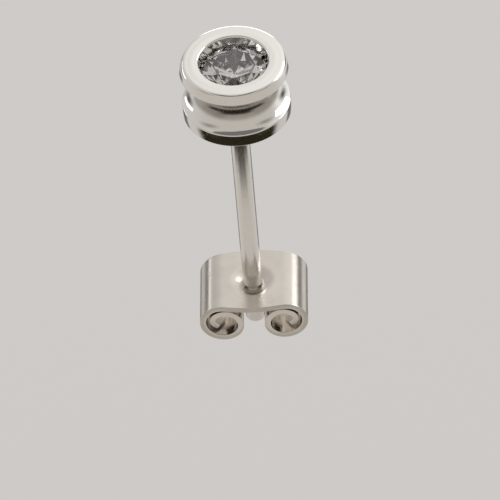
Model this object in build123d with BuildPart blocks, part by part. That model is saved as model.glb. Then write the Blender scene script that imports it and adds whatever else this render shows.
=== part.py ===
from build123d import *
import os
from math import atan, cos, radians, sin

# Stud earring: a round brilliant rubbed into a waisted bezel, with a post soldered behind it and
# the butterfly clutch that holds the post. All sizes are in millimetres. +Z is up as worn, the
# stone faces -Y and the post runs along +Y from the middle of the base's back face, the origin.

# The stone, a round brilliant with its table towards -Y
stone_diameter = 3.0
table_diameter = 1.68
crown_height = 0.45
girdle_height = 0.09
pavilion_depth = 1.29
star_share = 0.5
lower_half_share = 0.77
main_facets = 8
first_facet_angle = 90.0

# The bezel, from the front face backwards
head_depth = 2.7
table_recess = 0.2
stone_gap = 0.04
lip_overlap = 0.1
lip_wall = 0.66
lip_height = 0.48
lip_draft = 0.08
lip_round = 0.24
opening_round = 0.1
waist_step = 0.55
flange_overhang = 0.55
flange_height = 0.58
edge_round = 0.06
seat_width = 0.39
culet_gap = 0.12

# The post
post_diameter = 0.8
post_length = 12.0
post_tip_round = 0.25
solder_round = 0.12

# The clutch, a strip with a hole in its middle and both ends rolled into scrolls
tip_past_clutch = 0.24
strip_thickness = 0.25
strip_width = 3.4
strip_end_width = 2.8
strip_corner_round = 0.4
scroll_radius = 0.88
scroll_step = 0.2
scroll_half_turns = 3
clutch_clearance = 0.03
collar_wall = 0.17
collar_height = 0.2
lead_in = 0.12

# Places along Y and radii that follow from these sizes
front_y = -head_depth
table_y = front_y + table_recess
girdle_front_y = table_y + crown_height
girdle_back_y = girdle_front_y + girdle_height
culet_y = girdle_back_y + pavilion_depth
stone_radius = stone_diameter / 2
table_radius = table_diameter / 2
seat_radius = stone_radius + stone_gap
lip_radius = seat_radius + lip_wall
waist_radius = lip_radius - waist_step
flange_radius = waist_radius + flange_overhang
post_radius = post_diameter / 2
hole_radius = post_radius + clutch_clearance
clutch_depth = 2 * scroll_radius + strip_thickness
clutch_place = post_length - tip_past_clutch - clutch_depth

# Slopes of the stone's facets. The star facets reach star_share of the way from the table's edge
# to the girdle, and the lower half facets lower_half_share of the way from the girdle to the
# culet. A half facet meets the girdle on the chord between a main and the place half-way to the
# next, and runs up or down to the point that two mains share.
main_step = 360 / main_facets
half_cos = cos(radians(main_step / 2))
quarter_cos = cos(radians(main_step / 4))
crown_slope = crown_height / (stone_radius - table_radius)
pavilion_slope = pavilion_depth / stone_radius
table_flat_radius = table_radius * half_cos
star_tip_radius = table_flat_radius + star_share * (stone_radius - table_flat_radius)
star_tip_height = (stone_radius - star_tip_radius * half_cos) * crown_slope
star_slope = (crown_height - star_tip_height) / (star_tip_radius - table_flat_radius)
upper_half_slope = star_tip_height / ((stone_radius - star_tip_radius) * quarter_cos)
lower_tip_radius = stone_radius * (1 - lower_half_share)
lower_tip_depth = (stone_radius - lower_tip_radius * half_cos) * pavilion_slope
lower_half_slope = lower_tip_depth / ((stone_radius - lower_tip_radius) * quarter_cos)
chord_radius = stone_radius * quarter_cos

# Each tier of facets: how many, the first one's angle past first_facet_angle, the radius and the
# place along Y that its planes pass through, their slope, and the way they face along Y.
facet_tiers = [
    (main_facets, 0, stone_radius, girdle_front_y, crown_slope, -1),
    (main_facets, main_step / 2, table_flat_radius, table_y, star_slope, -1),
    (2 * main_facets, main_step / 4, chord_radius, girdle_front_y, upper_half_slope, -1),
    (main_facets, 0, stone_radius, girdle_back_y, pavilion_slope, 1),
    (2 * main_facets, main_step / 4, chord_radius, girdle_back_y, lower_half_slope, 1),
]


def facet_plane(angle, radius, place, slope, facing):
    """The plane of one facet, with its normal pointing out of the stone."""
    tilt = atan(slope)
    across = Vector(cos(radians(angle)), 0, sin(radians(angle)))
    normal = across * sin(tilt) + Vector(0, facing * cos(tilt), 0)
    return Plane(origin=across * radius + Vector(0, place, 0), z_dir=normal)


# Stone: a round blank, ground flat facet by facet
with BuildPart() as stone:
    with BuildSketch(Plane.XZ.offset(-table_y)):
        Circle(stone_radius)
    extrude(amount=table_y - culet_y)
    for count, first_angle, radius, place, slope, facing in facet_tiers:
        for index in range(count):
            angle = first_facet_angle + first_angle + index * 360 / count
            split(bisect_by=facet_plane(angle, radius, place, slope, facing), keep=Keep.BOTTOM)
stone.part.label = "stone"

# Setting: the lip, the waist, the base flange and the soldered post are one turned profile, with
# radius along X. The stone's hollow is cut into it: the opening under the lip, the groove round
# the girdle, the seat under the pavilion and the bore behind the culet.
lip_back_y = front_y + lip_height
waist_y = (lip_back_y - flange_height) / 2
opening_radius = stone_radius - lip_overlap
bore_radius = seat_radius - seat_width
groove_front_y = girdle_front_y + stone_gap * crown_slope - stone_gap
groove_back_y = girdle_back_y - stone_gap * pavilion_slope + stone_gap

with BuildPart() as setting:
    with BuildSketch(Plane.XY) as profile:
        with BuildLine():
            Polyline(
                (flange_radius, -flange_height),
                (flange_radius, 0),
                (post_radius, 0),
                (post_radius, post_length),
                (0, post_length),
                (0, front_y),
                (lip_radius - lip_draft, front_y),
                (lip_radius, lip_back_y),
            )
            ThreePointArc(
                (lip_radius, lip_back_y),
                (waist_radius, waist_y),
                (flange_radius, -flange_height),
            )
        make_face()
        with BuildLine():
            Polyline(
                (0, front_y),
                (opening_radius, front_y),
                (opening_radius, girdle_front_y - lip_overlap * crown_slope - stone_gap),
                (seat_radius, groove_front_y),
                (seat_radius, groove_back_y),
                (bore_radius, groove_back_y + seat_width * pavilion_slope),
                (bore_radius, culet_y + culet_gap),
                (0, culet_y + culet_gap),
                close=True,
            )
        make_face(mode=Mode.SUBTRACT)
        for corner_radius, corner_y, round_size in [
            (lip_radius - lip_draft, front_y, lip_round),
            (opening_radius, front_y, opening_round),
            (lip_radius, lip_back_y, edge_round),
            (flange_radius, -flange_height, edge_round),
            (flange_radius, 0, edge_round),
            (post_radius, 0, solder_round),
            (post_radius, post_length, post_tip_round),
        ]:
            fillet(profile.vertices().sort_by_distance((corner_radius, corner_y))[0], round_size)
    revolve(axis=Axis.Y)
setting.part.label = "setting"

# Clutch: the strip's centre line runs along the plate and then rolls up behind it in half turns,
# each scroll_step smaller than the one before. The second half turn passes beside the post.
plate_y = clutch_place + strip_thickness / 2
scroll_x = hole_radius + strip_thickness / 2 + scroll_radius - scroll_step
half_length = scroll_x + scroll_radius + strip_thickness / 2

with BuildPart() as clutch:
    with BuildSketch(Plane.XY):
        with BuildLine():
            Line((0, plate_y), (scroll_x, plate_y))
            turn_start_y = plate_y
            for half_turn in range(scroll_half_turns):
                radius = scroll_radius - half_turn * scroll_step
                back = 1 if half_turn % 2 == 0 else -1
                CenterArc((scroll_x, turn_start_y + back * radius), radius, -90 * back, 180)
                turn_start_y += 2 * back * radius
        trace(line_width=strip_thickness)
        mirror(about=Plane.YZ)
    extrude(amount=strip_width / 2, both=True)
    with BuildSketch(Plane.XZ.offset(-clutch_place - strip_thickness)):
        Circle(hole_radius + collar_wall)
    extrude(amount=-collar_height)
    with BuildSketch(Plane.XZ.offset(-clutch_place)):
        Circle(hole_radius)
    extrude(amount=-strip_thickness - collar_height, mode=Mode.SUBTRACT)
    with BuildSketch(Plane.XZ.offset(-clutch_place)):
        Circle(hole_radius + lead_in)
    extrude(amount=-lead_in, taper=45, mode=Mode.SUBTRACT)
    with BuildSketch(Plane.XZ.offset(-clutch_place)) as outline:
        with BuildLine():
            ThreePointArc(
                (-half_length, strip_end_width / 2),
                (0, strip_width / 2),
                (half_length, strip_end_width / 2),
            )
            Line((half_length, strip_end_width / 2), (half_length, -strip_end_width / 2))
            mirror(about=Plane.XZ)
            mirror(about=Plane.YZ)
        make_face()
        fillet(outline.vertices(), strip_corner_round)
    extrude(amount=-clutch_depth, mode=Mode.INTERSECT)
clutch.part.label = "clutch"

os.makedirs("parts", exist_ok=True)
export_step(setting.part, "parts/setting.step")
export_step(stone.part, "parts/stone.step")
export_step(clutch.part, "parts/clutch.step")
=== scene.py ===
import math

import bmesh
import bpy
from mathutils import Matrix, Vector


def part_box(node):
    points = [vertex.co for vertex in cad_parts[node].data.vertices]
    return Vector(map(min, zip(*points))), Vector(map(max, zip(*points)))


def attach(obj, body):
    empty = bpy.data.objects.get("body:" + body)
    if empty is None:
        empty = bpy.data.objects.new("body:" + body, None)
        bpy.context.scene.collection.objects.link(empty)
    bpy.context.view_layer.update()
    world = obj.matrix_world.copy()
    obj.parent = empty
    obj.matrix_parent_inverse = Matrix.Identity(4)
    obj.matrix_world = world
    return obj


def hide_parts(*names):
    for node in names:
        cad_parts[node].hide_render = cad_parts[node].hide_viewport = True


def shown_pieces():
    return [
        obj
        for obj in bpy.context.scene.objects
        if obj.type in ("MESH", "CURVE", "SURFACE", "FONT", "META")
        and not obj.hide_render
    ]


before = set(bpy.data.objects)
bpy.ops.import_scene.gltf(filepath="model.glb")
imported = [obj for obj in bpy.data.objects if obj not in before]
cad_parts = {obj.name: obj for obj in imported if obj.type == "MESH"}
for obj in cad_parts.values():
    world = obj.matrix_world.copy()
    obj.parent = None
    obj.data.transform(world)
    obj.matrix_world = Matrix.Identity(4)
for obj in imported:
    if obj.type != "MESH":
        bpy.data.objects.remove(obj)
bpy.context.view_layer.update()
mm = 0.001
tiny = 1e-6


def nodeBox(node):
    # a CAD node's lowest and highest corners, in mm
    return [[round(value / mm, 3) for value in corner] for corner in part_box(node)]


settingLow, settingHigh = nodeBox("setting")
stoneLow, stoneHigh = nodeBox("stone")
clutchLow, clutchHigh = nodeBox("clutch")
print("frame read")


class Socket:
    # an output socket, so that maths with it and numbers on either side reads as plain expressions
    def __init__(self, tree, out):
        self.tree = tree
        self.out = out

    def output(self, name):
        return Socket(self.tree, self.out.node.outputs[name])

    def maths(self, operation, first, second=0.0):
        return self.tree.node("ShaderNodeMath", {"operation": operation}, {0: first, 1: second})

    def __add__(self, other):
        return self.maths("ADD", self, other)

    def __radd__(self, other):
        return self.maths("ADD", other, self)

    def __sub__(self, other):
        return self.maths("SUBTRACT", self, other)

    def __rsub__(self, other):
        return self.maths("SUBTRACT", other, self)

    def __mul__(self, other):
        return self.maths("MULTIPLY", self, other)

    def __rmul__(self, other):
        return self.maths("MULTIPLY", other, self)

    def __truediv__(self, other):
        return self.maths("DIVIDE", self, other)

    def __rtruediv__(self, other):
        return self.maths("DIVIDE", other, self)

    def __mod__(self, other):
        return self.maths("FLOORED_MODULO", self, other)

    def __rmod__(self, other):
        return self.maths("FLOORED_MODULO", other, self)

    def __lt__(self, other):
        return self.maths("LESS_THAN", self, other)

    def __gt__(self, other):
        return self.maths("GREATER_THAN", self, other)

    def __abs__(self):
        return self.maths("ABSOLUTE", self)

    def floor(self):
        return self.maths("FLOOR", self)

    def sin(self):
        return self.maths("SINE", self)

    def cos(self):
        return self.maths("COSINE", self)

    def root(self):
        return self.maths("SQRT", self)

    def sign(self):
        return self.maths("SIGN", self)

    def most(self, other):
        return self.maths("MINIMUM", self, other)

    def least(self, other):
        return self.maths("MAXIMUM", self, other)

    def ease(self, start, end):
        # 0 up to start, 1 from end on and smooth between
        return self.tree.node(
            "ShaderNodeMapRange", {"interpolation_type": "SMOOTHSTEP"}, {0: self, 1: start, 2: end}
        )


class Tree:
    # a shader or Geometry Nodes tree that is built by calls
    def __init__(self, nodeTree):
        self.nodeTree = nodeTree

    def join(self, value, socket):
        # a list is linked one by one, to a socket that takes several links
        if isinstance(value, list):
            for one in value:
                self.join(one, socket)
        elif isinstance(value, Socket):
            self.nodeTree.links.new(value.out, socket)
        else:
            socket.default_value = value

    def node(self, kind, settings=None, inputs=None, output=0):
        made = self.nodeTree.nodes.new(kind)
        for name, value in (settings or {}).items():
            setattr(made, name, value)
        for name, value in (inputs or {}).items():
            self.join(value, made.inputs[name])
        return Socket(self, made.outputs[output] if made.outputs else None)

    def vector(self, x, y, z):
        return self.node("ShaderNodeCombineXYZ", None, {0: x, 1: y, 2: z})

    def parts(self, vector):
        # x, y and z; the split node itself stands for its first output, x
        split = self.node("ShaderNodeSeparateXYZ", None, {0: vector})
        return split, split.output("Y"), split.output("Z")

    def noise(self, vector, scale, detail=2.0, roughness=0.5):
        return self.node(
            "ShaderNodeTexNoise",
            None,
            {"Vector": vector, "Scale": scale, "Detail": detail, "Roughness": roughness},
        )

    def mixColour(self, factor, first, second):
        return self.node(
            "ShaderNodeMix", {"data_type": "RGBA"}, {0: factor, 6: first, 7: second}, output=2
        )


def addObject(name, data):
    added = bpy.data.objects.new(name, data)
    bpy.context.scene.collection.objects.link(added)
    return added


def addPiece(name, mesh, material):
    mesh.name = name
    mesh.materials.clear()
    mesh.materials.append(material)
    return addObject(name, mesh)


def growPiece(name, build, sizes, material):
    # builds a Geometry Nodes tree that works in mm, runs it once and keeps the plain mesh in metres
    group = bpy.data.node_groups.new(name + "Tree", "GeometryNodeTree")
    tree = Tree(group)
    group.interface.new_socket("Geometry", in_out="OUTPUT", socket_type="NodeSocketGeometry")
    identifiers = {}
    for label, value in sizes.items():
        kind = "NodeSocketInt" if isinstance(value, int) else "NodeSocketFloat"
        item = group.interface.new_socket(label, in_out="INPUT", socket_type=kind)
        identifiers[label] = item.identifier
    given = tree.node("NodeGroupInput")
    shape = build(tree, {label: given.output(label) for label in sizes})
    shape = tree.node("GeometryNodeTransform", None, {"Geometry": shape, "Scale": (mm, mm, mm)})
    shape = tree.node("GeometryNodeRealizeInstances", None, {0: shape})
    shape = tree.node("GeometryNodeSetMaterial", None, {"Geometry": shape, "Material": material})
    tree.node("NodeGroupOutput", None, {0: shape})

    holder = addObject(name + "Holder", bpy.data.meshes.new(name + "Holder"))
    modifier = holder.modifiers.new("grow", "NODES")
    modifier.node_group = group
    for label, value in sizes.items():
        modifier[identifiers[label]] = value
    grown = bpy.data.meshes.new_from_object(holder.evaluated_get(bpy.context.evaluated_depsgraph_get()))
    bpy.data.objects.remove(holder)
    return addPiece(name, grown, material)


def finishPiece(piece, modifiers):
    # runs the modifiers and keeps the plain mesh
    for kind, settings in modifiers:
        modifier = piece.modifiers.new(kind.title(), kind)
        for name, value in settings.items():
            setattr(modifier, name, value)
    done = bpy.data.meshes.new_from_object(piece.evaluated_get(bpy.context.evaluated_depsgraph_get()))
    piece.modifiers.clear()
    old = piece.data
    piece.data = done
    bpy.data.meshes.remove(old)
    done.name = piece.name


def tidyMesh(mesh):
    # merges doubles and points the faces outwards
    form = bmesh.new()
    form.from_mesh(mesh)
    bmesh.ops.remove_doubles(form, verts=form.verts, dist=tiny * mm)
    bmesh.ops.recalc_face_normals(form, faces=form.faces)
    form.to_mesh(mesh)
    form.free()


def filletPath(corners):
    # corners are (radius, place, round size in mm); a round corner becomes a short arc, with one
    # more point just outside each end where there is room, which keeps the flats beside it flat
    spare = 0.004
    stepAngle = math.radians(7.5)
    fewestSteps = 4
    path = []
    for index, (x, y, size) in enumerate(corners):
        corner = Vector((x, y))
        if not size or index in (0, len(corners) - 1):
            path.append(corner)
            continue
        before = Vector(corners[index - 1][:2]) - corner
        after = Vector(corners[index + 1][:2]) - corner
        half = before.angle(after) / 2
        reach = size / math.tan(half)
        roomBefore = before.length > reach + spare
        roomAfter = after.length > reach + spare
        before.normalize()
        after.normalize()
        centre = corner + (before + after).normalized() * size / math.sin(half)
        start = corner + before * reach
        first = start - centre
        turn = math.pi - 2 * half
        steps = max(fewestSteps, round(turn / stepAngle))
        if first.cross(corner + after * reach - centre) < 0:
            turn = -turn
        if roomBefore:
            path.append(start + before * spare)
        for step in range(steps + 1):
            path.append(centre + Matrix.Rotation(turn * step / steps, 2) @ first)
        if roomAfter:
            path.append(corner + after * (reach + spare))
    return path


def turnedPiece(name, path, steps, material):
    # a profile of (radius, place along Y) in mm turned about the Y axis
    points = []
    rings = []
    for radius, place in path:
        if radius < tiny:
            rings.append([len(points)])
            points.append((0.0, place * mm, 0.0))
            continue
        ring = []
        for step in range(steps):
            angle = 2 * math.pi * step / steps
            ring.append(len(points))
            points.append((radius * mm * math.cos(angle), place * mm, radius * mm * math.sin(angle)))
        rings.append(ring)
    faces = []
    for one, two in zip(rings, rings[1:]):
        for step in range(steps):
            after = (step + 1) % steps
            if len(one) == 1:
                faces.append((one[0], two[after], two[step]))
            elif len(two) == 1:
                faces.append((one[step], one[after], two[0]))
            else:
                faces.append((one[step], one[after], two[after], two[step]))
    mesh = bpy.data.meshes.new(name)
    mesh.from_pydata(points, [], faces)
    tidyMesh(mesh)
    mesh.shade_smooth()
    return addPiece(name, mesh, material)


# the brilliant: the hull of the rings of corners where its facets meet
stone = {
    "Table Place": stoneLow[1],
    "Culet Place": stoneHigh[1],
    "Girdle Radius": stoneHigh[0],
    "Table Radius": 0.84,
    "Crown Height": 0.45,
    "Girdle Height": 0.09,
    "Star Share": 0.5,
    "Lower Half Share": 0.77,
    "Mains": 8,
    "Girdle Steps": 160,
    "Culet Radius": 0.0001,
}


def pavilionDepth(sizes):
    depth = sizes["Culet Place"] - sizes["Table Place"]
    return depth - sizes["Crown Height"] - sizes["Girdle Height"]


def brilliantTree(tree, sizes):
    girdle = sizes["Girdle Radius"]
    crown = sizes["Crown Height"]
    depth = pavilionDepth(sizes)
    step = 2 * math.pi / sizes["Mains"]
    halfCos = (step / 2).cos()
    quarterCos = (step / 4).cos()
    crownSlope = crown / (girdle - sizes["Table Radius"])
    pavilionSlope = depth / girdle
    tableFlat = sizes["Table Radius"] * halfCos
    starTip = tableFlat + sizes["Star Share"] * (girdle - tableFlat)
    starHeight = (girdle - starTip * halfCos) * crownSlope
    upperSlope = starHeight / ((girdle - starTip) * quarterCos)
    lowerTip = girdle * (1 - sizes["Lower Half Share"])
    lowerDepth = (girdle - lowerTip * halfCos) * pavilionSlope
    lowerSlope = lowerDepth / ((girdle - lowerTip) * quarterCos)

    def ring(count, radius, height, phase):
        circle = tree.node("GeometryNodeMeshCircle", None, {"Vertices": count, "Radius": radius})
        return tree.node(
            "GeometryNodeTransform",
            None,
            {
                "Geometry": circle,
                "Translation": tree.vector(0.0, 0.0, height),
                "Rotation": tree.vector(0.0, 0.0, phase),
            },
        )

    # the girdle's edges are scalloped where the half facets cut them
    x, y, _ = tree.parts(tree.node("GeometryNodeInputPosition"))
    angle = tree.node("ShaderNodeMath", {"operation": "ARCTAN2"}, {0: y, 1: x})
    off = angle % (step / 2) - step / 4
    bite = (off.cos() - quarterCos) * girdle

    def girdleEdge(height, offset):
        edge = ring(sizes["Girdle Steps"], girdle, height, 0.0)
        return tree.node(
            "GeometryNodeSetPosition", None, {"Geometry": edge, "Offset": tree.vector(0.0, 0.0, offset)}
        )

    belowGirdle = 0 - sizes["Girdle Height"]
    culetCorners = 3
    rings = [
        ring(sizes["Mains"], sizes["Table Radius"], crown, 0.0),
        ring(sizes["Mains"], starTip, starHeight, step / 2),
        girdleEdge(0.0, 0 - bite * upperSlope),
        girdleEdge(belowGirdle, bite * lowerSlope),
        ring(sizes["Mains"], lowerTip, belowGirdle - lowerDepth, step / 2),
        ring(culetCorners, sizes["Culet Radius"], belowGirdle - depth, 0.0),
    ]
    joined = tree.node("GeometryNodeJoinGeometry", None, {0: rings})
    hull = tree.node("GeometryNodeConvexHull", None, {0: joined})
    # the table turns to face -Y, with its front at the table's place
    return tree.node(
        "GeometryNodeTransform",
        None,
        {
            "Geometry": hull,
            "Translation": tree.vector(0.0, crown + sizes["Table Place"], 0.0),
            "Rotation": (math.pi / 2, 0.0, 0.0),
        },
    )


def makeStone():
    piece = growPiece("brilliant", brilliantTree, stone, clearStone)
    piece.data.shade_flat()
    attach(piece, "stud")
    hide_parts("stone")


# the turned head: lip, waist and base flange, with the stone's hollow
head = {
    "frontY": settingLow[1],
    "lipRadius": settingHigh[0],
    "lipDraft": 0.08,
    "lipHeight": 0.48,
    "lipRound": 0.24,
    "lipOverlap": 0.1,
    "openingRound": 0.1,
    "stoneGap": 0.04,
    "seatWidth": 0.39,
    "culetGap": 0.12,
    "hollowRound": 0.02,
    "waistRadius": 1.65,
    "waistSteps": 40,
    "flangeRadius": settingHigh[0],
    "flangeHeight": 0.58,
    "edgeRound": 0.06,
    "lipCrown": 0.015,
    "flangeCrown": 0.01,
    "crownSteps": 10,
    "crownMargin": 0.04,
    "faceOuterMargin": 0.04,
    "faceInnerMargin": 0.02,
    "backReach": (-0.03, -0.01),
    "steps": 256,
}


def crownPoints(start, end, rise, outward):
    # points of a slightly crowned face between two corners, as polishing leaves it
    count = head["crownSteps"]
    margin = head["crownMargin"]
    points = []
    for step in range(1, count):
        share = margin + (1 - 2 * margin) * step / count
        bulge = rise * (1 - (2 * share - 1) ** 2)
        points.append(
            (
                start[0] + (end[0] - start[0]) * share + outward[0] * bulge,
                start[1] + (end[1] - start[1]) * share + outward[1] * bulge,
                0,
            )
        )
    return points


def waistCorners(sizes):
    # the hollow of the waist is an arc from the flange's front edge to the lip's back edge; the
    # points next to its ends are left out, which leaves room for the rounds there
    backY = -sizes["flangeHeight"]
    frontY = sizes["frontY"] + sizes["lipHeight"]
    depth = sizes["flangeRadius"] - sizes["waistRadius"]
    half = (backY - frontY) / 2
    middleY = (backY + frontY) / 2
    arcRadius = (half * half + depth * depth) / (2 * depth)
    centreRadius = sizes["waistRadius"] + arcRadius
    spread = math.asin(half / arcRadius)
    count = sizes["waistSteps"]
    corners = []
    for step in range(2, count - 1):
        angle = spread * (1 - 2 * step / count)
        radius = centreRadius - arcRadius * math.cos(angle)
        corners.append((radius, middleY + arcRadius * math.sin(angle), 0))
    return corners


def hollowCorners(sizes):
    # the opening under the lip, the groove round the girdle, the seat and the bore behind the culet
    gap = sizes["stoneGap"]
    small = sizes["hollowRound"]
    girdle = stone["Girdle Radius"]
    crownSlope = stone["Crown Height"] / (girdle - stone["Table Radius"])
    pavilionSlope = pavilionDepth(stone) / girdle
    girdleFrontY = stone["Table Place"] + stone["Crown Height"]
    girdleBackY = girdleFrontY + stone["Girdle Height"]
    grooveBackY = girdleBackY + gap * (1 - pavilionSlope)
    boreRadius = girdle + gap - sizes["seatWidth"]
    floorY = stone["Culet Place"] + sizes["culetGap"]
    overlap = sizes["lipOverlap"]
    return [
        (girdle - overlap, girdleFrontY - overlap * crownSlope - gap, small),
        (girdle + gap, girdleFrontY - gap * (1 - crownSlope), small),
        (girdle + gap, grooveBackY, small),
        (boreRadius, grooveBackY + sizes["seatWidth"] * pavilionSlope, small),
        (boreRadius, floorY, small),
        (0, floorY, 0),
    ]


def makeHead():
    s = head
    rim = s["flangeRadius"] - s["flangeCrown"]
    front = s["frontY"] + s["lipCrown"]
    faceOuter = s["lipRadius"] - s["lipDraft"] - s["lipRound"] - s["faceOuterMargin"]
    openingRadius = stone["Girdle Radius"] - s["lipOverlap"]
    faceInner = openingRadius + s["openingRound"] + s["faceInnerMargin"]
    edge = s["edgeRound"]
    corners = [
        (0, 0, 0),
        (rim, 0, edge),
        *crownPoints((rim, -edge), (rim, edge - s["flangeHeight"]), s["flangeCrown"], (1, 0)),
        (rim, -s["flangeHeight"], edge),
        *waistCorners(s),
        (s["lipRadius"], s["frontY"] + s["lipHeight"], edge),
        (s["lipRadius"] - s["lipDraft"], front, s["lipRound"]),
        *crownPoints((faceOuter, front), (faceInner, front), s["lipCrown"], (0, -1)),
        (openingRadius, front, s["openingRound"]),
        *hollowCorners(s),
    ]
    piece = turnedPiece("bezelHead", filletPath(corners), s["steps"], headSilver)
    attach(piece, "stud")
    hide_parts("setting")


# the post, drawn wire with a domed tip, and the solder at its foot
post = {
    "radius": 0.4,
    "length": settingHigh[1],
    "tipRound": 0.25,
    "solderRound": 0.12,
    "inset": 0.2,
    "steps": 96,
}


def makePost():
    # its foot stands inside the head, and one more ring parts the long shaft
    s = post
    corners = [
        (0, -s["inset"], 0),
        (s["radius"] + s["solderRound"], -s["inset"], 0),
        (s["radius"] + s["solderRound"], 0, 0),
        (s["radius"], 0, s["solderRound"]),
        (s["radius"], s["length"] / 3, 0),
        (s["radius"], s["length"], s["tipRound"]),
        (0, s["length"], 0),
    ]
    piece = turnedPiece("earPost", filletPath(corners), s["steps"], postSilver)
    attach(piece, "stud")


# the clutch: a strip with a dimpled hole, rolled up behind its plate in shrinking half turns; its
# shares are parts of the way from the plate's middle to the strip's end
clutch = {
    "Place": clutchLow[1],
    "Depth": clutchHigh[1] - clutchLow[1],
    "Half Span": clutchHigh[0],
    "Thickness": 0.25,
    "Width": 3.4,
    "Mid Narrowing": 0.14,
    "Mid Share": 0.3,
    "End Narrowing": 0.12,
    "End Share": 0.75,
    "Corner Share": 0.05,
    "Corner Bite": 0.5,
    "Hole Radius": 0.505,
    "Cells To Hole": 8,
    "Square Reach": 2.6,
    "Scroll Step": 0.2,
    "Half Turns": 3,
    "Dimple Start": 0.7,
    "Dimple Radius": 0.95,
    "Dimple Height": 0.2,
    "Edge Round": 0.045,
}


def stripTree(tree, sizes):
    hole = sizes["Hole Radius"]
    firstRadius = (sizes["Depth"] - sizes["Thickness"]) / 2
    plate = sizes["Half Span"] - sizes["Depth"] / 2
    rollStep = sizes["Scroll Step"]
    halfTurns = sizes["Half Turns"]
    middleRadius = firstRadius - rollStep * (halfTurns - 1) / 2
    halfLength = plate + middleRadius * math.pi * halfTurns
    cell = hole / sizes["Cells To Hole"]
    cellsAlong = (halfLength / cell).floor()
    cellsAcross = (sizes["Width"] / 2 / cell).floor()
    grid = tree.node(
        "GeometryNodeMeshGrid",
        None,
        {
            "Size X": cellsAlong * cell * 2,
            "Size Y": cellsAcross * cell * 2,
            "Vertices X": cellsAlong * 2 + 1,
            "Vertices Y": cellsAcross * 2 + 1,
        },
    )
    along, across, _ = tree.parts(tree.node("GeometryNodeInputPosition"))
    square = abs(along).least(abs(across))
    pierced = tree.node(
        "GeometryNodeDeleteGeometry", {"domain": "FACE"}, {"Geometry": grid, "Selection": square < hole}
    )
    # squares round the middle of the plate become circles, so that the hole is round
    distance = (along * along + across * across).root()
    roundness = 1 - square.ease(hole, hole * sizes["Square Reach"])
    pull = 1 + roundness * (square / distance.least(tiny) - 1)
    s = along * pull
    v = across * pull
    away = (s * s + v * v).root()
    dimple = 1 - away.ease(hole * sizes["Dimple Start"], sizes["Dimple Radius"])

    # the strip is widest in the middle of the plate, and narrows again towards its rounded ends
    share = abs(s) / halfLength
    narrow = 1 - share.ease(0.0, sizes["Mid Share"]) * sizes["Mid Narrowing"]
    narrow = narrow - share.ease(sizes["End Share"], 1.0) * sizes["End Narrowing"]
    intoCorner = (share - 1 + sizes["Corner Share"]).least(0.0) / sizes["Corner Share"]
    cornerRound = 1 - intoCorner * intoCorner * sizes["Corner Bite"]
    width = v * (sizes["Width"] / 2 / (cellsAcross * cell)) * narrow * cornerRound

    turned = (abs(s) - plate) / (middleRadius * math.pi)
    turned = turned.least(0.0)
    whole = turned.floor().most(halfTurns - 1)
    radius = firstRadius - rollStep * whole
    centre = firstRadius + rollStep * (whole % 2)
    angle = turned * math.pi
    onPlate = abs(s) < plate
    pathX = abs(s).most(plate) + radius * angle.sin()
    pathY = (centre - radius * angle.cos()) * (1 - onPlate) + dimple * sizes["Dimple Height"]
    place = tree.vector(pathX * s.sign(), pathY + sizes["Place"] + sizes["Thickness"] / 2, width)
    return tree.node("GeometryNodeSetPosition", None, {"Geometry": pierced, "Position": place})


def makeClutch():
    piece = growPiece("clutchStrip", stripTree, clutch, clutchSilver)
    tidyMesh(piece.data)
    wall = {"thickness": clutch["Thickness"] * mm, "offset": 0.0, "use_even_offset": True}
    edges = {
        "width": clutch["Edge Round"] * mm,
        "segments": 3,
        "limit_method": "ANGLE",
        "angle_limit": 0.9,
    }
    finishPiece(piece, [("SOLIDIFY", wall), ("BEVEL", edges)])
    tidyMesh(piece.data)
    piece.data.shade_smooth()
    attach(piece, "clutch")
    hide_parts("clutch")


def newMaterial(name):
    material = bpy.data.materials.new(name)
    material.use_nodes = True
    material.node_tree.nodes.clear()
    return material, Tree(material.node_tree)


def silverMaterial(name, look):
    # polished silver with fine tool lines, hair scratches, soft waves, a little tarnish and painted
    # shade
    material, tree = newMaterial(name)
    coordinates = tree.node("ShaderNodeTexCoord", None, None, "Object")
    x, y, z = (part * (1 / mm) for part in tree.parts(coordinates))
    where = tree.vector(x, y, z)
    lines = tree.noise(look["grain"](tree, x, y, z), scale=1.0, detail=3.0, roughness=0.6)
    cloud = tree.noise(where, look["cloudScale"], detail=3.0)
    waves = tree.noise(where, look["waveScale"], detail=1.0)
    pits = tree.noise(where, look["pitScale"], roughness=0.7).ease(*look["pitEdge"])
    hairs = hairScratches(tree, x, y, z, look)
    shade = look["shade"](tree, x, y, z)
    edge = sheared(tree, look) * look["shearedRough"]
    satin = look["satin"](tree, x, y, z)
    # this mix darkens the colour where the shade functions say: partly tarnish, partly painted shade
    dullnessAndShade = (shade * (cloud * look["dullSpread"] + look["dullLeast"])).most(1.0)
    colour = tree.mixColour(dullnessAndShade, look["bright"], look["tarnish"])
    rough = look["rough"] + cloud * look["roughSpread"] + dullnessAndShade * look["dullRough"]
    rough = rough + hairs * look["hairRough"] + edge + satin * look["satinRough"]
    height = (
        lines * (satin * look["satinHeight"] + look["lineHeight"]) + waves * look["waveHeight"]
        - pits * look["pitHeight"] - hairs * look["hairHeight"]
    )
    bump = tree.node("ShaderNodeBump", None, {"Strength": 1.0, "Distance": mm, "Height": height})
    shader = tree.node(
        "ShaderNodeBsdfPrincipled",
        None,
        {"Base Color": colour, "Metallic": 1.0, "Roughness": rough, "Normal": bump},
    )
    tree.node("ShaderNodeOutputMaterial", None, {"Surface": shader})
    return material


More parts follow.
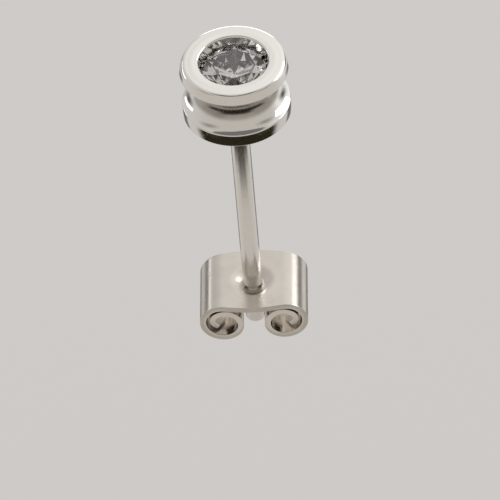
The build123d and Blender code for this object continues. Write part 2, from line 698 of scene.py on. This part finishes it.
def hairScratches(tree, x, y, z, look):
    # three sets of thin, long scratches that cross each other
    scale = look["hairScale"]
    total = 0.0
    for turn, lean, seed in ((0.4, 0.3, 0.0), (1.5, -0.5, 31.0), (2.6, 0.9, 67.0)):
        across = (x * math.cos(turn) + z * math.sin(turn) + y * lean) * scale
        along = (z * math.cos(turn) - x * math.sin(turn) + y * (1 - abs(lean))) * scale
        where = tree.vector(across, along * look["hairStretch"], y * look["hairDrift"] + seed)
        total = total + tree.noise(where, scale=1.0, detail=0.0).ease(*look["hairEdge"])
    return total.most(1.0)


def sheared(tree, look):
    # the faces that look straight up or down, where the strip was cut from its sheet
    normal = tree.node("ShaderNodeTexCoord", None, None, "Normal")
    return abs(tree.parts(normal)[2]).ease(*look["shearedEdge"])


def stoneMaterial(name, look):
    # clear stone with a thin film of wear
    material, tree = newMaterial(name)
    coordinates = tree.node("ShaderNodeTexCoord", None, None, "Object")
    film = tree.noise(coordinates, look["filmScale"], detail=3.0).ease(*look["filmEdge"])
    shader = tree.node(
        "ShaderNodeBsdfPrincipled",
        None,
        {
            "Base Color": look["colour"],
            "Roughness": film * look["filmRough"],
            "IOR": look["refraction"],
            "Transmission Weight": 1.0,
        },
    )
    tree.node("ShaderNodeOutputMaterial", None, {"Surface": shader})
    return material


def ringGrain(tree, x, y, z):
    # lines that run round the axis, as a lathe and a polishing wheel leave them
    fine, slow = 24.0, 0.25
    radius = (x * x + z * z).root()
    return tree.vector(radius * fine, y * fine, x * slow)


def wireGrain(tree, x, y, z):
    # lines along the post
    fine, slow = 16.0, 0.35
    return tree.vector(x * fine, y * slow, z * fine)


def stripGrain(tree, x, y, z):
    # lines along the strip, whatever way it bends
    fine, slow = 18.0, 0.5
    return tree.vector(x * slow, y * slow, z * fine)


def headSatin(tree, x, y, z):
    # the base's back is left as it was turned, with its lines
    return y.ease(*head["backReach"])


def plainSatin(tree, x, y, z):
    return 0.0


# how much tarnish and painted shade gathers where; each pair is where it starts and where it is full,
# in mm
tarnish = {
    "hollow": 0.9,
    "hollowWall": (-0.05, -0.1),
    "hollowFront": (-1.9, -1.5),
    "hollowFloor": (-0.4, -0.5),
    "waist": 0.6,
    "waistWall": (0.13, 0.03),
    "waistFront": (-0.08, 0.02),
    "waistBack": (0.08, -0.22),
    "solder": 0.5,
    "solderWall": (0.45, 0.1),
    "solderBack": (-0.1, 0.0),
    "postFoot": 0.5,
    "postFootReach": (0.5, 0.0),
    "postEnd": 0.15,
    "postEndReach": (-0.55, 0.05),
    "strip": 0.04,
    "stripOutside": 0.36,
    "stripOutsideReach": (-0.285, -0.105),
}


def gathered(value, place, pair):
    # one of the pairs, counted from a place
    start, end = tarnish[pair]
    return value.ease(place + start, place + end)


def headShade(tree, x, y, z):
    # painted shade darkens the hollow behind the stone and the waist's groove, and the back is darker
    # round the solder
    radius = (x * x + z * z).root()
    lipBackY = head["frontY"] + head["lipHeight"]
    hollow = gathered(radius, head["waistRadius"], "hollowWall")
    hollow = hollow * gathered(y, 0.0, "hollowFront") * gathered(y, 0.0, "hollowFloor")
    waist = gathered(radius, head["waistRadius"], "waistWall") * gathered(y, lipBackY, "waistFront")
    waist = waist * gathered(y, -head["flangeHeight"], "waistBack")
    solder = gathered(radius, post["radius"], "solderWall") * gathered(y, 0.0, "solderBack")
    return hollow * tarnish["hollow"] + waist * tarnish["waist"] + solder * tarnish["solder"]


def postShade(tree, x, y, z):
    # the foot by the solder and the end that goes into the clutch are a little duller
    foot = gathered(y, 0.0, "postFootReach") * tarnish["postFoot"]
    return foot + gathered(y, clutch["Place"], "postEndReach") * tarnish["postEnd"]


def clutchShade(tree, x, y, z):
    # the outside is darker, partly metal dulled by air and use and partly painted shade, while the
    # insides of the scrolls are still bright
    reach = clutch["Depth"] / 2
    across = abs(x) - (clutch["Half Span"] - reach)
    back = y - (clutch["Place"] + reach)
    fromAxis = (across * across + back * back).root()
    return gathered(fromAxis, reach, "stripOutsideReach") * tarnish["stripOutside"] + tarnish["strip"]


silverLook = {
    "satin": plainSatin,
    "satinRough": 0.3,
    "satinHeight": 0.003,
    "bright": (0.93, 0.915, 0.885, 1.0),
    # the dark colour that tarnish and painted shade mix towards
    "tarnish": (0.16, 0.13, 0.105, 1.0),
    "rough": 0.045,
    "roughSpread": 0.05,
    "dullRough": 0.2,
    "dullLeast": 0.6,
    "dullSpread": 0.8,
    "hairRough": 0.06,
    "hairScale": 20.0,
    "hairStretch": 0.015,
    "hairDrift": 0.3,
    "hairEdge": (0.72, 0.8),
    "hairHeight": 0.00012,
    "shearedRough": 0.0,
    "shearedEdge": (0.75, 0.95),
    "lineHeight": 0.0004,
    "cloudScale": 1.3,
    "waveScale": 0.9,
    "waveHeight": 0.005,
    "pitScale": 5.0,
    "pitEdge": (0.68, 0.73),
    "pitHeight": 0.0012,
}
headLook = silverLook | {"shade": headShade, "grain": ringGrain, "satin": headSatin}
postLook = silverLook | {"shade": postShade, "grain": wireGrain, "rough": 0.16, "lineHeight": 0.003}
clutchLook = silverLook | {
    "shade": clutchShade,
    "grain": stripGrain,
    "rough": 0.12,
    "lineHeight": 0.004,
    "shearedRough": 0.34,
    # both colours are warm: the silver's own tone and a painted warm reflection
    "bright": (0.9, 0.865, 0.82, 1.0),
    "tarnish": (0.42, 0.37, 0.31, 1.0),
}
stoneLook = {
    "colour": (0.98, 0.985, 1.0, 1.0),
    "refraction": 2.16,
    "filmScale": 900.0,
    "filmEdge": (0.5, 0.75),
    "filmRough": 0.03,
}

headSilver = silverMaterial("headSilver", headLook)
postSilver = silverMaterial("postSilver", postLook)
clutchSilver = silverMaterial("clutchSilver", clutchLook)
clearStone = stoneMaterial("clearStone", stoneLook)
print("materials made")


makeStone()
makeHead()
makePost()
makeClutch()
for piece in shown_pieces():
    corners = [[round(value / mm, 3) for value in piece.bound_box[index]] for index in (0, 6)]
    print(piece.name, "has", len(piece.data.polygons), "faces, from", corners[0], "to", corners[1])


# the studio: a pale tent that glows with painted light and runs down into its floor, soft lights and
# dark cards
studio = {
    "floorZ": -0.22,
    "radius": 0.42,
    "bend": 0.12,
    "tentTop": 0.42,
    "topHole": 0.0001,
    "bendSteps": 16,
    "wallSteps": 32,
    "roundSteps": 96,
    "low": (0.52, 0.49, 0.45, 1.0),
    "high": (0.62, 0.602, 0.583, 1.0),
    "highReach": (-0.6, 0.9),
    "lit": (0.92, 0.905, 0.885, 1.0),
    "litSide": (0.7, -0.55, 0.45),
    "litReach": (0.2, 0.95),
    "litRise": (-0.1, 0.5),
    "dark": (0.02, 0.0165, 0.009, 1.0),
    "dim": (0.07, 0.068, 0.066, 1.0),
    "dusk": (0.16, 0.157, 0.152, 1.0),
    "haze": (0.26, 0.255, 0.247, 1.0),
    "softboxDistance": 0.3,
    "cardColumns": 32,
    "cardRows": 6,
}


def tentMaterial():
    # the cloth glows with painted light: darker towards the floor and brightest on the side of the main
    # light
    material, tree = newMaterial("tentCloth")
    coordinates = tree.node("ShaderNodeTexCoord", None, None, "Object")
    way = tree.node("ShaderNodeVectorMath", {"operation": "NORMALIZE"}, {0: coordinates})
    x, y, z = tree.parts(way)
    lightX, lightY, lightZ = Vector(studio["litSide"]).normalized()
    towardsLight = x * lightX + y * lightY + z * lightZ
    lit = towardsLight.ease(*studio["litReach"]) * z.ease(*studio["litRise"])
    colour = tree.mixColour(z.ease(*studio["highReach"]), studio["low"], studio["high"])
    colour = tree.mixColour(lit, colour, studio["lit"])
    glow = tree.node("ShaderNodeEmission", None, {"Color": colour, "Strength": 1.0})
    tree.node("ShaderNodeOutputMaterial", None, {"Surface": glow})
    return material


def makeTent():
    s = studio
    path = [(s["radius"] - s["bend"], s["floorZ"])]
    for step in range(1, s["bendSteps"] + 1):
        angle = math.pi / 2 * step / s["bendSteps"]
        path.append(
            (
                s["radius"] - s["bend"] + s["bend"] * math.sin(angle),
                s["floorZ"] + s["bend"] * (1 - math.cos(angle)),
            )
        )
    wallTop = s["floorZ"] + s["bend"]
    for step in range(1, s["wallSteps"] + 1):
        angle = math.pi / 2 * step / s["wallSteps"]
        path.append(
            (
                s["radius"] * math.cos(angle) + s["topHole"],
                wallTop + (s["tentTop"] - wallTop) * math.sin(angle),
            )
        )
    points = []
    faces = []
    steps = s["roundSteps"]
    for radius, height in path:
        for step in range(steps):
            angle = 2 * math.pi * step / steps
            points.append((radius * math.cos(angle), radius * math.sin(angle), height))
    for index in range(len(path) - 1):
        for step in range(steps):
            here = index * steps + step
            after = index * steps + (step + 1) % steps
            faces.append((here, here + steps, after + steps, after))
    faces.append(tuple(range(steps)))
    mesh = bpy.data.meshes.new("tent")
    mesh.from_pydata(points, [], faces)
    mesh.shade_smooth()
    tent = addPiece("tent", mesh, tentMaterial())


def direction(azimuth, elevation):
    # azimuth 0 is the front, -Y, and 90 the right, +X
    turn, lift = math.radians(azimuth), math.radians(elevation)
    return Vector((math.sin(turn) * math.cos(lift), -math.cos(turn) * math.cos(lift), math.sin(lift)))


def addSoftbox(name, azimuth, elevation, size, glow, colour):
    # a soft light that looks at the part; its angles are those of direction, in degrees
    data = bpy.data.lights.new(name, "AREA")
    data.shape = "RECTANGLE"
    data.size, data.size_y = size
    data.energy = glow * math.pi * size[0] * size[1]
    data.color = colour
    light = addObject(name, data)
    light.location = direction(azimuth, elevation) * studio["softboxDistance"]
    light.rotation_mode = "QUATERNION"
    light.rotation_quaternion = (-light.location).to_track_quat("-Z", "Y")
    light.visible_camera = False


def cardMaterial(name, colour, fade):
    # dark in the middle and clear at its rim, read from the card's own UV map; its glow is a painted
    # reflection
    material, tree = newMaterial(name)
    across, along, _ = tree.parts(tree.node("ShaderNodeTexCoord", None, None, "UV"))
    inside = across.most(1 - across).ease(0.0, fade) * along.most(1 - along).ease(0.0, fade)
    clear = tree.node("ShaderNodeBsdfTransparent")
    glow = tree.node("ShaderNodeEmission", None, {"Color": colour, "Strength": 1.0})
    card = tree.node("ShaderNodeMixShader", None, {0: inside, 1: clear, 2: glow})
    tree.node("ShaderNodeOutputMaterial", None, {"Surface": card})
    return material


def addCard(name, tone, reach, fromAxis, roundAxis, fade):
    # a bent card round the head's middle, dark or dimly glowing, which only reflections and refractions
    # show:
    # painted dark reflections; its angles are counted from +Y, and round the Y axis from straight down
    middle = Vector((0, settingLow[1] / 2 * mm, 0))
    columns = studio["cardColumns"]
    rows = studio["cardRows"]
    points = []
    faces = []
    for row in range(rows + 1):
        for column in range(columns + 1):
            tilt = math.radians(fromAxis[0] + (fromAxis[1] - fromAxis[0]) * row / rows)
            turn = math.radians(roundAxis[0] + (roundAxis[1] - roundAxis[0]) * column / columns)
            out = math.sin(tilt)
            way = Vector((out * math.sin(turn), math.cos(tilt), -out * math.cos(turn)))
            points.append(way * reach + middle)
    for row in range(rows):
        for column in range(columns):
            here = row * (columns + 1) + column
            faces.append((here, here + 1, here + columns + 2, here + columns + 1))
    mesh = bpy.data.meshes.new(name)
    mesh.from_pydata(points, [], faces)
    chart = mesh.uv_layers.new(name="chart")
    for loop in mesh.loops:
        row, column = divmod(loop.vertex_index, columns + 1)
        chart.data[loop.index].uv = (column / columns, row / rows)
    card = addPiece(name, mesh, cardMaterial(name, studio[tone], fade))
    card.visible_camera = False
    card.visible_diffuse = False
    card.visible_shadow = False


makeTent()
addSoftbox("keySoftbox", 57, 24, size=(0.11, 0.2), glow=2.4, colour=(1.0, 0.985, 0.96))
addSoftbox("edgeSoftbox", -75, 35, size=(0.05, 0.16), glow=1.6, colour=(0.97, 0.985, 1.0))
addSoftbox("topSoftbox", 180, 80, size=(0.14, 0.14), glow=1.6, colour=(1.0, 1.0, 1.0))
addCard("backCard", "dark", reach=0.0125, fromAxis=(33, 57), roundAxis=(-88, 88), fade=0.12)
addCard("lowCard", "dark", reach=0.012, fromAxis=(24, 73), roundAxis=(-52, 52), fade=0.25)
addCard("frontCard", "dusk", reach=0.2, fromAxis=(152, 171), roundAxis=(-100, 100), fade=0.12)
addCard("rightCard", "dim", reach=0.2, fromAxis=(70, 110), roundAxis=(108, 158), fade=0.5)
addCard("leftCard", "dim", reach=0.2, fromAxis=(70, 110), roundAxis=(-158, -108), fade=0.5)
addCard("rightRearCard", "dusk", reach=0.2, fromAxis=(32, 60), roundAxis=(122, 166), fade=0.3)
addCard("leftRearCard", "dusk", reach=0.2, fromAxis=(32, 60), roundAxis=(-166, -122), fade=0.3)
addCard("rightLowCard", "haze", reach=0.2, fromAxis=(120, 146), roundAxis=(38, 102), fade=0.5)
addCard("leftLowCard", "haze", reach=0.2, fromAxis=(120, 146), roundAxis=(-102, -38), fade=0.5)
bpy.context.scene.view_settings.view_transform = "Standard"

world = bpy.data.worlds.new("studioAir")
bpy.context.scene.world = world
world.use_nodes = True
world.node_tree.nodes["Background"].inputs["Color"].default_value = studio["high"]


# the camera looks up at the stud from below, with a long lens
shot = {
    "azimuth": 3.6,
    "elevation": -45.0,
    "distance": 0.25,
    "height": 0.0206,
    "centre": (0.0, 0.00805, 0.0),
}


def makeCamera():
    s = shot
    back = direction(s["azimuth"], s["elevation"])
    data = bpy.data.cameras.new("camera")
    data.sensor_width = 36.0
    data.lens = data.sensor_width * s["distance"] / s["height"]
    data.clip_start = 0.01
    data.clip_end = 10.0
    camera = addObject("camera", data)
    camera.location = Vector(s["centre"]) + back * s["distance"]
    camera.rotation_mode = "QUATERNION"
    camera.rotation_quaternion = (-back).to_track_quat("-Z", "Y")
    bpy.context.scene.camera = camera


makeCamera()
print("studio and camera made")
